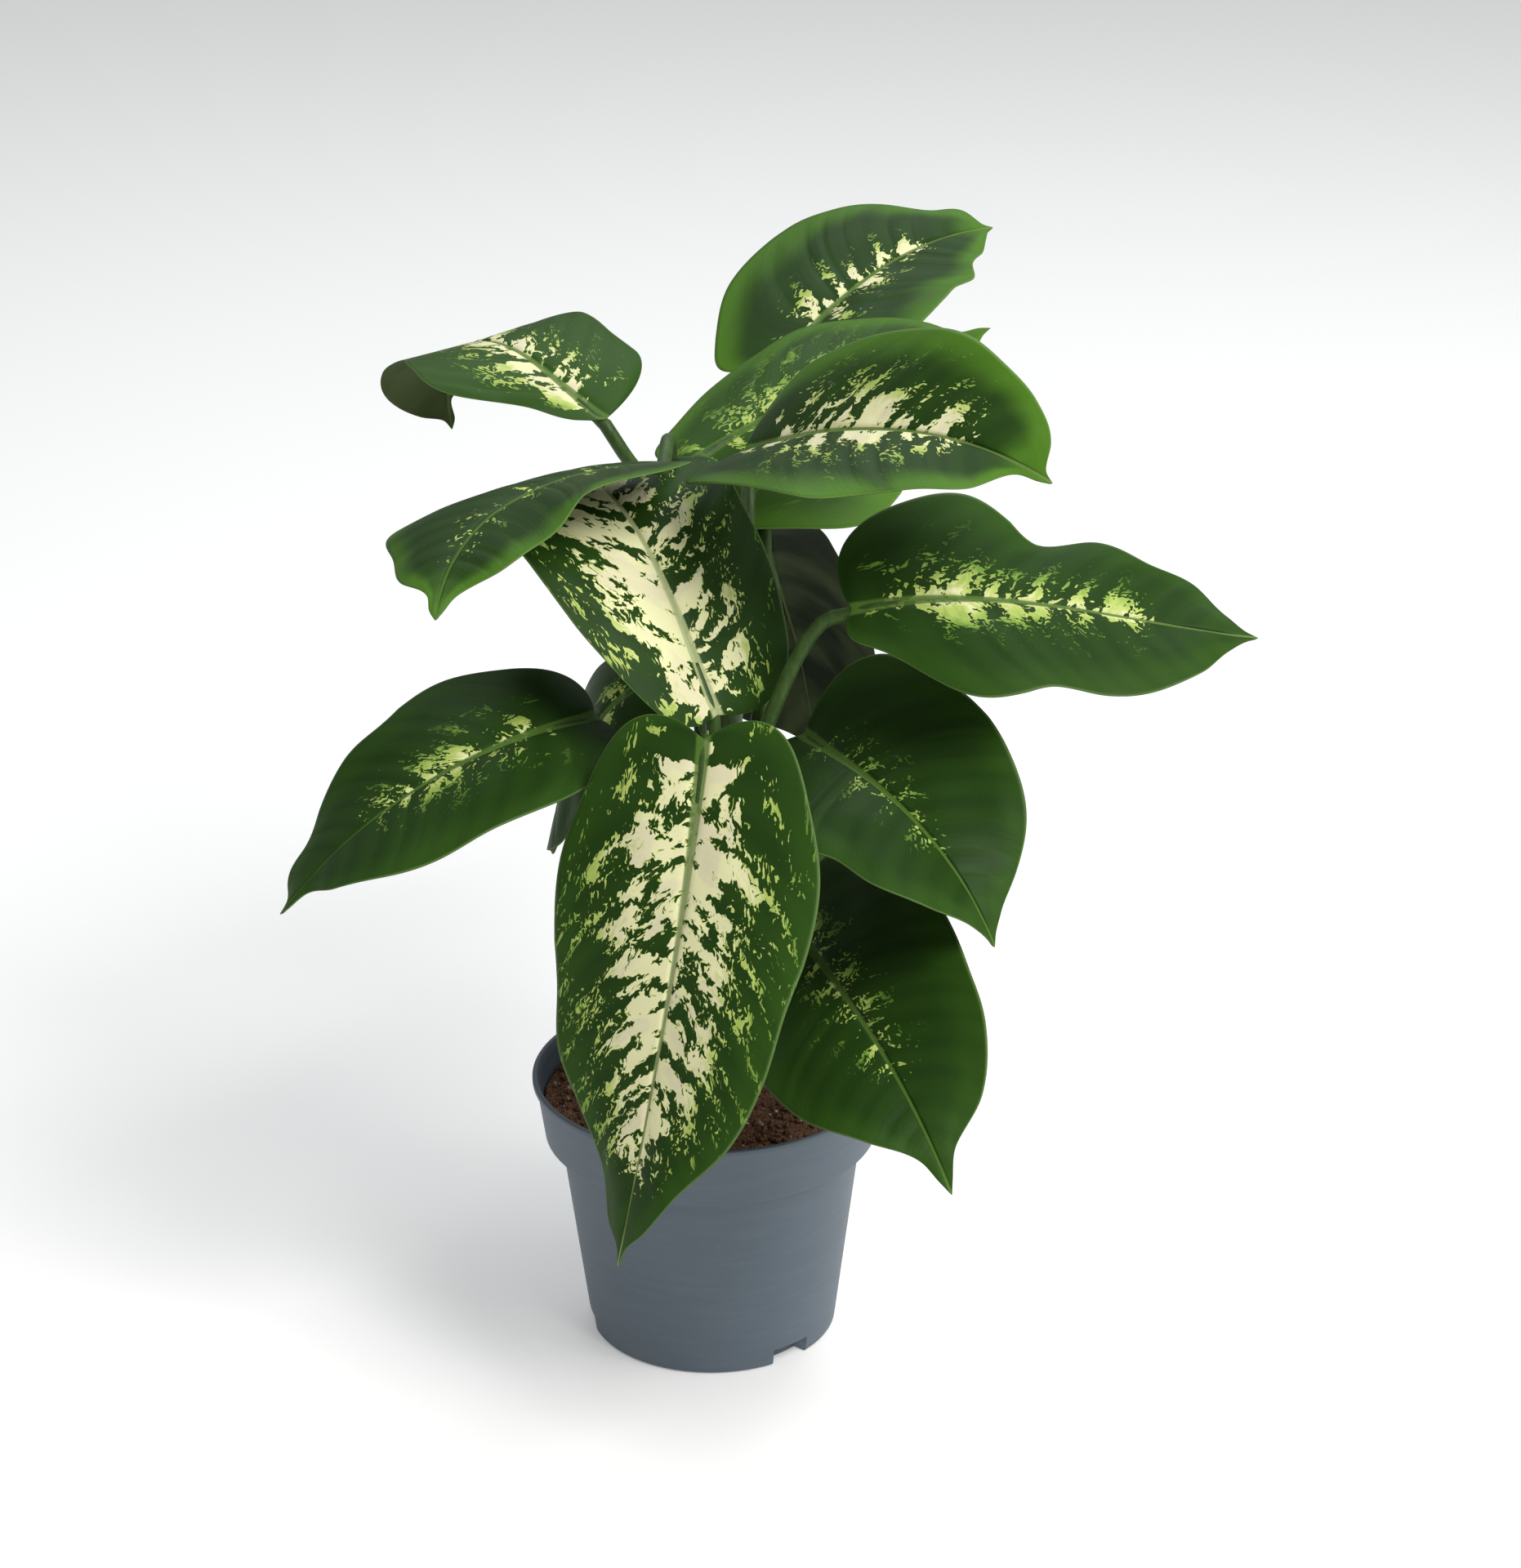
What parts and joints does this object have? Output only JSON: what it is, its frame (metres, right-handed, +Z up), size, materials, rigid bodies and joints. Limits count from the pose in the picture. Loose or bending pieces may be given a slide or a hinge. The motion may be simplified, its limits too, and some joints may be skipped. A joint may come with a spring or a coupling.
{
  "type": "potted dieffenbachia",
  "caption": "Young dieffenbachia with broad cream-blotched green leaves on arching stalks, growing from short canes in soil in a tapered round nursery pot.",
  "frame": {"origin": "middle of the pot's flat foot, on the surface that the pot stands on", "axes": "+Z up along the pot's axis; -Y towards the plant's front, where the largest leaf hangs over the pot's rim; +X to the right seen from the front"},
  "size_m": [0.3126, 0.3628, 0.3456],
  "materials": {
    "pot_plastic": "grey-blue, satin, light scuffs",
    "potting_soil": "rough dark peat with white perlite grains",
    "cane": "smooth green, satin, with paler leaf scars",
    "leaf": "waxy green with cream and yellow-green blotches along the side veins"
  },
  "bodies": {
    "root": {"pot": "pot_plastic", "soil": "potting_soil", "stem_main": "cane", "stem_front": "cane", "stem_right": "cane", "leaf_front": "leaf", "leaf_middle": "leaf", "leaf_folded": "leaf", "leaf_upper_left": "leaf", "leaf_left": "leaf", "leaf_right": "leaf", "leaf_upper_right": "leaf", "leaf_top": "leaf", "leaf_upper_back": "leaf", "leaf_lower_right": "leaf", "leaf_low_right": "leaf", "leaf_back": "leaf", "leaf_low_left": "leaf"}
  },
  "joints": []
}
